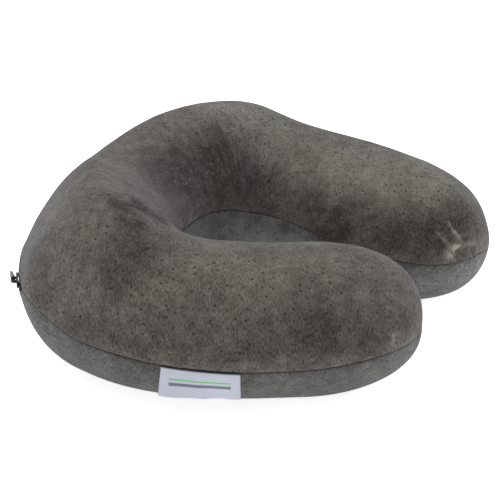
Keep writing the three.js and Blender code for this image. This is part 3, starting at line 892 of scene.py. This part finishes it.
def inner_layer(name, node, spans, depths, material, slot, columns, lift=0, extra=0, keep=None):
    """A thin layer under the cover that follows the pillow's surface, all of it or a stretch."""
    distance = stations(LAYER_ROWS) if keep is None else np.linspace(*keep, TAPE_ROWS)[:, None]
    angle, arc, crest = even_angles(distance, spans(distance), np.linspace(0, 1, columns))
    front, back = [
        surface(distance * (1 - depth / HALF_LENGTH), angle, depth, lift, extra) for depth in depths
    ]
    obj = shell_object(name, front, back, material)
    put_uv(obj, "cloth", np.tile(cloth_places(distance, crest - arc, front), (2, 1, 1)))
    return belongs(obj, "pillow", slot, node)


def liner(name, node, span_of, lift, material, columns):
    """One panel of the knitted liner, stretched over the foam."""
    obj = inner_layer(name, node, span_of, LINER, material, "liner_knit", columns, lift, ZIP_ROOM)
    flat_size(obj)


def flat_size(obj):
    """Width and length in metres of the piece's flat pattern, from its cloth map."""
    layer = obj.data.uv_layers["cloth"]
    places = np.zeros(2 * len(layer.data))
    layer.data.foreach_get("uv", places)
    return tuple(float(side) for side in np.ptp(places.reshape(-1, 2), axis=0))


def foam_core(material):
    distance = stations(LAYER_ROWS)
    ring = np.linspace(0, 2 * np.pi, FOAM_SIDES + 1)[:-1]
    ring = np.where(ring > np.pi, ring - 2 * np.pi, ring)[None, :] + 0 * distance
    points = surface(distance * (1 - FOAM_DEPTH / HALF_LENGTH), ring, FOAM_DEPTH, 0, ZIP_ROOM)
    skin = FOAM_RIPPLE * (waves(points, 22, 21) - 1)
    outward = unit(points - points.mean(axis=1, keepdims=True))
    points = points + outward * skin[..., None]
    belongs(tube_object("foam_body", points, material), "pillow", "foam", "foam_core")


# ---- small parts
def tube_faces(rings, sides, first=0):
    """Faces of a closed tube of rings, with its two ends filled."""
    i = first + np.arange(rings - 1)[:, None] * sides + np.arange(sides)
    after = first + np.arange(rings - 1)[:, None] * sides + (np.arange(sides) + 1) % sides
    wall_shade_mask = np.stack([i, after, after + sides, i + sides], axis=-1).reshape(-1, 4)
    last = first + (rings - 1) * sides
    ends = [list(range(first + sides - 1, first - 1, -1)), list(range(last, last + sides))]
    return [list(face) for face in wall_shade_mask] + ends


def tube_object(name, grid, material):
    rings, sides = grid.shape[:2]
    return mesh_object(name, grid.reshape(-1, 3), tube_faces(rings, sides), material)


def circle(sides):
    turn = np.arange(sides) * 2 * np.pi / sides
    return vectors(np.cos(turn), np.sin(turn))


def swept(path, side, section):
    """A grid that carries a section along a path. side is the direction of the section's x."""
    path = np.asarray(path, float)
    tangent = unit(np.gradient(path, axis=0))
    side = np.asarray(side, float) + 0 * path
    side = unit(side - (side * tangent).sum(-1, keepdims=True) * tangent)
    other = np.cross(tangent, side)
    section = np.asarray(section, float)
    return path[:, None] + side[:, None] * section[..., 0:1] + other[:, None] * section[..., 1:2]


def rounded_section(width, thick, sides=16, power=4):
    """A flat bar's section with rounded corners."""
    ring = circle(sides)
    shape = np.sign(ring) * np.abs(ring) ** (2 / power)
    return shape * [width / 2, thick / 2]


def turned(x, y, angle):
    """Coordinates turned about the origin."""
    return x * math.cos(angle) - y * math.sin(angle), x * math.sin(angle) + y * math.cos(angle)


def on_zip(points, arc=0.0):
    """Zip pieces' own places, x along the chain, y outward and z up, set on the zip's arc."""
    x, y = turned(points[..., 0], points[..., 1] + ZIP_RADIUS, -arc / ZIP_RADIUS)
    return vectors(x, ZIP_CENTRE_Y + y, ZIP_Z + points[..., 2])


def round_zip(points):
    """Bends points given as arc distance, outward and up round the zip's arc."""
    angle = points[..., 0] / ZIP_RADIUS
    radius = ZIP_RADIUS + points[..., 1]
    return vectors(
        radius * np.sin(angle), ZIP_CENTRE_Y + radius * np.cos(angle), ZIP_Z + points[..., 2],
    )


def merged(name, grids, material):
    """One object of several closed tubes."""
    points, faces, first = [], [], 0
    for grid in grids:
        faces += tube_faces(*grid.shape[:2], first)
        points.append(grid.reshape(-1, 3))
        first += len(points[-1])
    return mesh_object(name, np.concatenate(points), faces, material)


TAPE_EDGE = 0.9  # the tapes' inner edges stop this far from the middle of the zip
STOP_LENGTH = 2.4
STOP_PLACE = ZIP_HALF_LENGTH - STOP_LENGTH / 2
STOP_EDGE = 0.7
STOP_TAPER = 0.35
CHAIN_EDGE = 3.1
# Each stop's body and its two ridges: place along the zip, width and depth.
STOP_BARS = ((0, 2.3, 1.7), (-0.6, 0.7, 2.1), (0.6, 0.7, 2.1))
COIL_PITCH = 1.45
COIL_STEPS = 14  # for each turn of the wire
COIL_REACH = ZIP_HALF_LENGTH - STOP_LENGTH - 0.3
COIL_HEAD = 0.42  # the teeth's heads stop this far from the middle of the zip
COIL_BACK = 2.9
COIL_LEVEL = -0.4
COIL_HALF_DEPTH = 1.0
WIRE = 0.29  # radius of the coiled wire
WIRE_SWELL = 0.25


def zip_coil(name, node, sign, material):
    """A row of teeth: one nylon wire coiled along the tape's edge, its heads a little swollen."""
    turns = int(2 * COIL_REACH / COIL_PITCH)
    phase = np.linspace(0, 2 * np.pi * turns, turns * COIL_STEPS + 1)
    arc = -COIL_REACH + COIL_PITCH * phase / (2 * np.pi)
    if sign < 0:
        phase = phase + np.pi
    middle = (COIL_HEAD + COIL_BACK) / 2
    half = (COIL_BACK - COIL_HEAD) / 2 - WIRE
    centre = vectors(arc, COIL_LEVEL, sign * middle)
    away = vectors(0, (COIL_HALF_DEPTH - WIRE) * np.sin(phase), sign * half * np.cos(phase))
    thick = WIRE * (1 + WIRE_SWELL * np.maximum(-np.cos(phase), 0) ** 4)
    section = circle(7)[None] * thick[:, None, None]
    grid = round_zip(swept(centre + away, away, section))
    belongs(tube_object(name, grid, material), "pillow", "zip_teeth", node)


def zip_tape(name, node, sign, material):
    """One woven tape of the zip. sign is 1 for the upper one and -1 for the lower one."""
    def angle_of(distance, from_middle):
        return angle_at_height(distance, ZIP_Z + sign * from_middle, True)

    def spans(distance):
        return angle_of(distance, TAPE_EDGE), angle_of(distance, TAPE_HALF_WIDTH)
    reach = ZIP_END + TAPE_TAIL
    tape = inner_layer(name, node, spans, TAPE, material, "zip_tape", 14, keep=(-reach, reach))
    distance = np.linspace(-reach, reach, TAPE_ROWS)[:, None]
    angle = angle_of(distance, (TAPE_EDGE + TAPE_HALF_WIDTH) / 2)
    length = float(run_along(surface(distance, angle, sum(TAPE) / 2)[:, 0])[-1]) * MM


def zip_stop(name, node, arc, low, high, material):
    """A metal clamp: a flat bar pinched over the tape's edge, with two crimped ridges."""
    middle = (low + high) / 2
    height = high - low
    bars = []
    ends = np.linspace(-0.5, 0.5, 9)
    taper = (1 - STOP_TAPER * (2 * np.abs(ends)) ** 6)[:, None, None]
    for shift, width, depth in STOP_BARS:
        path = vectors(shift, COIL_LEVEL + 0.1, middle + height * ends)
        bars.append(on_zip(swept(path, (1, 0, 0), rounded_section(width, depth)[None] * taper), arc))
    belongs(merged(name, bars, material), "pillow", "zip_metal", node)


def outline_slab(outline, low, high, edge):
    """Rings of a flat plate with an outline in x and z, rounded over its edge, from y low to high."""
    outline = np.asarray(outline, float)
    middle = outline.mean(axis=0)
    away = outline - middle
    core = middle + away * 0.02
    inset = middle + away * (1 - edge / length_of(away))
    half = [(core, low), (inset, low), (outline, low + edge)]
    other_half = [(outline, high - edge), (inset, high), (core, high)]
    return np.array([vectors(ring[:, 0], y, ring[:, 1]) for ring, y in half + other_half])


SLIDER_HALF = 4.5
SLIDER_PLACE = -(ZIP_HALF_LENGTH - STOP_LENGTH - 0.4 - SLIDER_HALF)
PLATE = 1.0  # the plates' thickness
PLATE_EDGE = 0.3
FRONT_LEVEL = 0.9
BACK_LEVEL = -3.6
# The wedge between the plates, where the two rows of teeth part.
WEDGE = [(-4.3, -0.3), (-2.9, -0.3), (-2.4, 0), (-2.9, 0.3), (-4.3, 0.3)]
FLANGE_REACH = 3.28  # from the middle of the chain
FLANGE_LEVEL = -0.15
BRIDGE_FOOT = 2.7
BRIDGE_CURVE = [(-2.7, 3.3), (-2.55, 3.9), (-2.1, 4.35), (-1.4, 4.5)]


def shield(half, nose, tail, corner=1.0, steps=6):
    """A slider plate's outline: wide at the -x end where the teeth part, narrower at the other."""
    corners = [(-half + corner, -nose + corner, 180), (half - corner, -tail + corner, 270),
               (half - corner, tail - corner, 0), (-half + corner, nose - corner, 90)]
    points = []
    for x, z, start in corners:
        for turn in np.radians(np.linspace(start, start + 90, steps)):
            points.append((x + corner * math.cos(turn), z + corner * math.sin(turn)))
    return points


def slider(material):
    """Two plates joined by the wedge, with side flanges and an arched bridge for the pull tab."""
    top = FRONT_LEVEL + PLATE
    grids = [
        outline_slab(shield(SLIDER_HALF, 3.5, 3.0), FRONT_LEVEL, top, PLATE_EDGE),
        outline_slab(shield(SLIDER_HALF, 3.1, 2.7), BACK_LEVEL - PLATE, BACK_LEVEL, PLATE_EDGE),
        outline_slab(WEDGE, BACK_LEVEL - 0.2, FRONT_LEVEL + 0.2, 0.02),
    ]
    x = np.linspace(-4.2, 3.6, 12)
    reach = FLANGE_REACH - 0.012 * np.maximum(x + 4, 0) ** 2
    for side in (-1, 1):
        path = vectors(x, FLANGE_LEVEL, side * reach)
        grids.append(swept(path, (0, 0, 1), rounded_section(0.42, 2.3, 12)))
    half_arch = [(-BRIDGE_FOOT, top - PLATE_EDGE), *BRIDGE_CURVE]
    arch = half_arch + [(-x, y) for x, y in half_arch[::-1]]
    path = [(x, y, 0) for x, y in arch]
    grids.append(swept(path, (0, 0, 1), rounded_section(1.7, 0.95, 12)))
    body = merged("slider_body", [on_zip(grid, SLIDER_PLACE) for grid in grids], material)
    belongs(body, "zip_slider", "zip_metal", "zip_slider_body")


PULL_LENGTH = 10
PULL_WIDTH = 4.6
PULL_EYE = 4.6  # where the eye ends and the face begins
PULL_RIM = 0.6  # radius of the metal loop
PULL_BARS = ((0, 0.62), (PULL_EYE, 0.5))  # place and radius of each bar across the loop
PULL_FACE_HALF = 0.38  # half the face's thickness
PULL_REST_ANGLE = 10
PIVOT_LEVEL = 2.95


def pull_tab(rim_material, pull_face_highlight_material):
    """A rounded loop of metal with a bar for the bridge and a smooth domed face set in it, whose
    lighter purple-grey is a painted highlight.
    """
    side = PULL_WIDTH / 2 - PULL_RIM
    end = PULL_LENGTH - PULL_RIM
    turn = np.radians(np.linspace(-90, 90, 17))
    nose = [(end - side + side * math.cos(t), side * math.sin(t)) for t in turn]
    leg = [(0, 0.5 - side), (0.15, 0.15 - side), (0.5, -side), (2, -side), (PULL_EYE, -side)]
    other_leg = [(x, -z) for x, z in leg[::-1]]
    loop = [(x, 0, z) for x, z in [*leg, *nose, *other_leg, (0, 0), leg[0]]]
    rim = swept(loop, (0, 1, 0), circle(10) * PULL_RIM)
    bars = [swept([(x, 0, -side), (x, 0, 0), (x, 0, side)], (0, 1, 0), circle(10) * radius)
            for x, radius in PULL_BARS]
    outline = [leg[-1], *nose, other_leg[0]]
    face = outline_slab(outline, -PULL_FACE_HALF, PULL_FACE_HALF, 0.1)

    def set_out(grid):
        x, y = turned(grid[..., 0], grid[..., 1], math.radians(PULL_REST_ANGLE))
        return on_zip(vectors(x, y + PIVOT_LEVEL, grid[..., 2]), SLIDER_PLACE)
    frame_part = merged("pull_tab_frame", [set_out(grid) for grid in (rim, *bars)], rim_material)
    belongs(frame_part, "pull_tab", "zip_metal", "zip_pull_tab")
    belongs(merged("pull_tab_face", [set_out(face)], pull_face_highlight_material), "pull_tab", "zip_metal")


STITCH_PITCH = 3.0
STITCH_REACH = 1.3
STITCH_SUNK = 0.75
TOPSTITCH_INSET = 2.2
TOPSTITCH_PITCH = 3.2
STITCH_GAP = 0.35
THREAD_RADIUS = 0.17


def threads(name, starts, ends, radius, material):
    """Stitches: a short spindle of thread between each start and its end."""
    share = np.array([0, 0.08, 0.3, 0.7, 0.92, 1])
    girth = np.array([0.25, 0.75, 1, 1, 0.75, 0.25]) * radius
    way = ends - starts
    along = unit(way)
    side = unit(np.cross(along, (0.3, 0.2, 1.0)))
    other = np.cross(along, side)
    ring = circle(6)
    around = side[:, None] * ring[:, 0, None] + other[:, None] * ring[:, 1, None]
    spine = starts[:, None] + way[:, None] * share[:, None]
    grids = spine[:, :, None] + around[:, None] * girth[:, None, None]
    belongs(merged(name, list(grids), material), "pillow", "velour")


def line_on_cover(angle_of, pitch, low, high):
    """Places at an even pitch along a line on the cover, with the way along, across and outward."""
    distance = np.linspace(low, high, 1500)[:, None]
    angle = angle_of(distance)
    points = surface(distance, angle)[:, 0]
    across = surface(distance, angle + 0.01)[:, 0] - surface(distance, angle - 0.01)[:, 0]
    travelled = run_along(points)
    at = np.arange(0, travelled[-1], pitch)

    def pick(values):
        return np.stack([np.interp(at, travelled, column) for column in values.T], axis=-1)
    along = unit(pick(np.gradient(points, axis=0)))
    across = unit(pick(across))
    return pick(points), along, across, np.cross(across, along)


def seam_stitches(name, angle_of, low, high, material):
    """Rungs of thread that close a seam, down in its groove."""
    points, along, across, outward = line_on_cover(angle_of, STITCH_PITCH, low, high)
    middle = points - outward * STITCH_SUNK
    reach = across * STITCH_REACH + along * STITCH_GAP
    threads(name, middle - reach, middle + reach, THREAD_RADIUS, material)


def topstitching(name, sign, material):
    """A row of running stitches that holds the folded edge of the cover beside the zip."""
    def angle_of(distance):
        return angle_at_height(distance, ZIP_Z + sign * (COVER_CUTBACK + TOPSTITCH_INSET), True)
    reach = ZIP_END - 2
    points, along, _, outward = line_on_cover(angle_of, TOPSTITCH_PITCH, -reach, reach)
    middle = points - outward * 0.05
    half = along * (TOPSTITCH_PITCH / 2 - STITCH_GAP)
    threads(name, middle - half, middle + half, THREAD_RADIUS, material)


LABEL_THICK = 0.2
LABEL_FOLD = 0.16  # radius of the fold
LABEL_TURNED_IN = 0.4  # how far the ribbon goes on above its seam
LABEL_SUNK = 0.7  # how far below the seam's line the label leaves the cover
CARE_SHARES = (0.05, 0.26)  # of the way across the bottom panel


def ribbon_shell(name, middle, outward, thick, along, down, material):
    """A ribbon of two faces either side of a grid of points, with its weave's UV map."""
    front = middle + outward * thick / 2
    back = middle - outward * thick / 2
    obj = shell_object(name, front, back, material)
    put_uv(obj, "ribbon", np.tile(vectors(along, down) * MM, (2, 1, 1)))
    return obj


def label_fold():
    """The folded ribbon's section, from one sewn edge to the other: how far out and how far up."""
    straight = LABEL_DROP - LABEL_FOLD
    turn = np.radians(np.linspace(0, 180, 9))[1:-1]
    face = np.linspace(LABEL_TURNED_IN, -straight, 20)
    out = np.concatenate([0 * face + LABEL_FOLD, LABEL_FOLD * np.cos(turn), 0 * face - LABEL_FOLD])
    rise = np.concatenate([face, -straight - LABEL_FOLD * np.sin(turn), face[::-1]])
    return out, rise


def label_waves(along, out, hang):
    """How far the label stands off, droops and flares. hang is 0 at the seam and 1 at the fold."""
    end = LABEL_WIDTH / 2
    wave = 0.55 * np.sin(along / 4.7 + 0.6) + 0.35 * np.sin(along / 2.6 + 2 * hang)
    gape = 0.5 * hang**2 * np.sign(out) * smoothstep(along, -8, -end)
    tuck = 3.8 * hang**1.5 * smoothstep(-along, -end, end + 3)
    stand_off = 0.55 + 1.1 * hang + wave * hang**1.3 + gape - tuck
    curl = 0.9 * smoothstep(-along, -6, end) - 0.6 * smoothstep(along, 2, end)
    droop = (0.35 * np.sin(along / 6.1 + 1) + curl) * hang - LABEL_SUNK
    flare = (1.6 * hang - 0.5) * smoothstep(along, 9, end)
    return stand_off, droop, flare


def label_seam(columns):
    """Points of the seam under the label's columns, and the way outward there."""
    near = np.linspace(-LABEL_WIDTH, LABEL_WIDTH, 401)[:, None] - LABEL_DISTANCE
    run = run_along(surface(near, outer_seam_angle(near))[:, 0])
    distance = np.interp(columns, run - run[len(run) // 2], near[:, 0])[:, None]
    _, _, out_x, out_y = centre_at(distance)
    return surface(distance, outer_seam_angle(distance)), vectors(out_x, out_y, 0)


def side_label(material):
    """A ribbon folded in two that hangs from the outer seam of the -X arm, a little wavy."""
    along = np.linspace(-LABEL_WIDTH / 2, LABEL_WIDTH / 2, 61)[:, None]
    seam, outward = label_seam(along[:, 0])
    out, rise = label_fold()
    down = run_along(vectors(out, rise))
    hang = np.clip(-rise / LABEL_DROP, 0, 1)[None]
    stand_off, droop, flare = label_waves(along, out, hang)
    lengthwise = unit(np.gradient(seam, axis=0))
    middle = seam + outward * (out + stand_off)[..., None] + lengthwise * flare[..., None]
    middle = middle + np.array([0, 0, 1]) * (rise + droop)[..., None]
    label = ribbon_shell("label_ribbon", middle, normals_of(middle, 1), LABEL_THICK,
                         LABEL_WIDTH / 2 - along, down, material)
    belongs(label, "label", "label_satin", "side_label")


def care_label(material):
    """A strip of printed-side satin inside the cover, sewn in past the zip's end."""
    distance = np.linspace(*CARE_SPAN, 50)[:, None]
    start, end = base_span(distance)
    angle = start + (end - start) * np.linspace(*CARE_SHARES, 30)
    middle = surface(distance, angle, sum(CARE_LABEL) / 2)
    down = run_along(middle)
    along = run_along(middle[:, middle.shape[1] // 2])[:, None]
    thick = CARE_LABEL[1] - CARE_LABEL[0]
    label = ribbon_shell("care_ribbon", middle, normals_of(middle, -1), thick, along, down, material)
    belongs(label, "pillow", "label_satin", "care_label")


# ---- scene
VIEW_AZIMUTH = -69.33
VIEW_ELEVATION = 20.83
VIEW_TARGET = (-5.92, 3.66, 43.83)
VIEW_DISTANCE = 1333.3
LENS = 169.3

# Lamps: name, place and aim in metres, size, power, colour.
LIGHTS = [
    ("overhead", (0.1, 0.35, 1.5), (0, 0, 0), 1.1, 17, (1, 0.99, 0.97)),
    ("back_left", (-0.9, 1.0, 0.5), (0, 0, 0.04), 0.7, 0.5, (0.93, 0.97, 1)),
    ("right", (0.6, -1.1, 0.5), (0, 0, 0.04), 0.7, 4, (0.96, 0.98, 1)),
]
FLOOR_HALF = 4  # metres
FLOOR_LEVEL = -0.0004


def make_camera():
    azimuth, elevation = math.radians(VIEW_AZIMUTH), math.radians(VIEW_ELEVATION)
    back = Vector((
        math.sin(azimuth) * math.cos(elevation),
        -math.cos(azimuth) * math.cos(elevation),
        math.sin(elevation),
    ))
    camera = bpy.data.objects.new("camera", bpy.data.cameras.new("camera"))
    camera.data.lens = LENS
    camera.data.sensor_width = 36
    camera.data.clip_start = 0.05
    camera.data.clip_end = 50
    camera.location = Vector(to_frame(VIEW_TARGET)) + back * (VIEW_DISTANCE * MM)
    camera.rotation_mode = "QUATERNION"
    camera.rotation_quaternion = (-back).to_track_quat("-Z", "Y")
    bpy.context.scene.collection.objects.link(camera)
    bpy.context.scene.camera = camera


def soft_light(name, place, aim, size, power, colour):
    light = bpy.data.lights.new(name, "AREA")
    light.shape = "DISK"
    light.size = size
    light.energy = power
    light.color = colour
    obj = bpy.data.objects.new(name, light)
    obj.location = place
    obj.rotation_mode = "QUATERNION"
    obj.rotation_quaternion = (Vector(aim) - Vector(place)).to_track_quat("-Z", "Y")
    bpy.context.scene.collection.objects.link(obj)


def make_studio():
    scene = bpy.context.scene
    world = bpy.data.worlds.new("studio")
    world.use_nodes = True
    sky = world.node_tree.nodes["Background"].inputs
    sky["Color"].default_value = (1, 1, 1, 1)
    sky["Strength"].default_value = 0.5
    scene.world = world
    scene.view_settings.view_transform = "Standard"
    for light in LIGHTS:
        soft_light(*light)

    n = Nodes("floor")
    place = n.place()
    paper = n.mix(n.noise(place, 4), (0.93, 0.93, 0.93, 1), (0.95, 0.95, 0.95, 1))
    floor_look = n.finish(Base_Color=paper, Roughness=0.9, Emission_Color=(1, 1, 1, 1),
                          Emission_Strength=0.8)
    mesh = bpy.data.meshes.new("floor")
    corners = [(-1, -1), (1, -1), (1, 1), (-1, 1)]
    corners = [(x * FLOOR_HALF, y * FLOOR_HALF, FLOOR_LEVEL) for x, y in corners]
    mesh.from_pydata(corners, [], [(0, 1, 2, 3)])
    mesh.materials.append(floor_look)
    floor = bpy.data.objects.new("floor", mesh)
    scene.collection.objects.link(floor)


make_camera()
make_studio()

velour_look = velour(
    "velour", rgb(49, 40, 37), rgb(84, 79, 74), rgb(114, 113, 105), rgb(152, 147, 138),
)
# painted light: the bottom panel's own copy of the velour, in greyer tones, stands in for the floor's
# bounce light and the pile's cool sheen where the panel faces down
gusset_painted_light_look = velour(
    "velour_gusset_painted_light", rgb(48, 44, 42), rgb(76, 75, 72), rgb(106, 106, 103), rgb(136, 135, 131),
)
knit_look = plain_fabric("liner_knit", rgb(232, 228, 220), rgb(206, 200, 190), 1800, 0.15)
foam_look = plain_fabric("foam", rgb(236, 224, 190), rgb(222, 206, 164), 1200, 0.1, 0.8, 0)
thread_look = plain_fabric("thread", rgb(46, 42, 41), rgb(30, 28, 28), 3000, 0.04)
tape_look = woven_tape()
nylon_look = black_nylon()
metal_look = enamelled_metal("zip_metal", rgb(20, 20, 24), rgb(52, 50, 56), 0.25, 0.45)
# painted highlight: the pull tab's face is a lighter purple-grey, for the light its glossy face
# reflects
pull_face_highlight_look = enamelled_metal("pull_face_painted_highlight", rgb(84, 80, 96), rgb(112, 106, 124), 0.2, 0.35)
satin_look = satin()

settled = settle_cloth()
cover_panel("velour_top_panel", "cover_top_panel", top_span, SEAM_GAP, velour_look, 118, 0, settled)
# painted light: the bottom panel's tone is raised by 0.04 for the floor's bounce light
cover_panel("velour_bottom_panel", "cover_bottom_panel", base_span, 0, gusset_painted_light_look, 84, 0.04, settled)
liner("knit_top_panel", "liner_top_panel", top_span, SEAM_GAP, knit_look, 40)
liner("knit_bottom_panel", "liner_bottom_panel", base_span, 0.0, knit_look, 32)
foam_core(foam_look)

zip_tape("tape_upper", "zip_tape_upper", 1, tape_look)
zip_tape("tape_lower", "zip_tape_lower", -1, tape_look)
zip_coil("coil_upper", "zip_coil_upper", 1, nylon_look)
zip_coil("coil_lower", "zip_coil_lower", -1, nylon_look)
zip_stop("top_stop_upper", "zip_top_stop_upper", -STOP_PLACE, STOP_EDGE, CHAIN_EDGE, metal_look)
zip_stop("top_stop_lower", "zip_top_stop_lower", -STOP_PLACE, -CHAIN_EDGE, -STOP_EDGE, metal_look)
zip_stop("bottom_stop", "zip_bottom_stop", STOP_PLACE, -CHAIN_EDGE, CHAIN_EDGE, metal_look)
slider(metal_look)
pull_tab(metal_look, pull_face_highlight_look)

clear = ZIP_END + OPENING_FADE
tip = HALF_LENGTH - 1
seam_stitches("stitches_outer_left", outer_seam_angle, -tip, -clear, thread_look)
seam_stitches("stitches_outer_right", outer_seam_angle, clear, tip, thread_look)
seam_stitches("stitches_inner", inner_seam_angle, -tip, tip, thread_look)
topstitching("topstitch_upper", 1, thread_look)
topstitching("topstitch_lower", -1, thread_look)
side_label(satin_look)
care_label(satin_look)
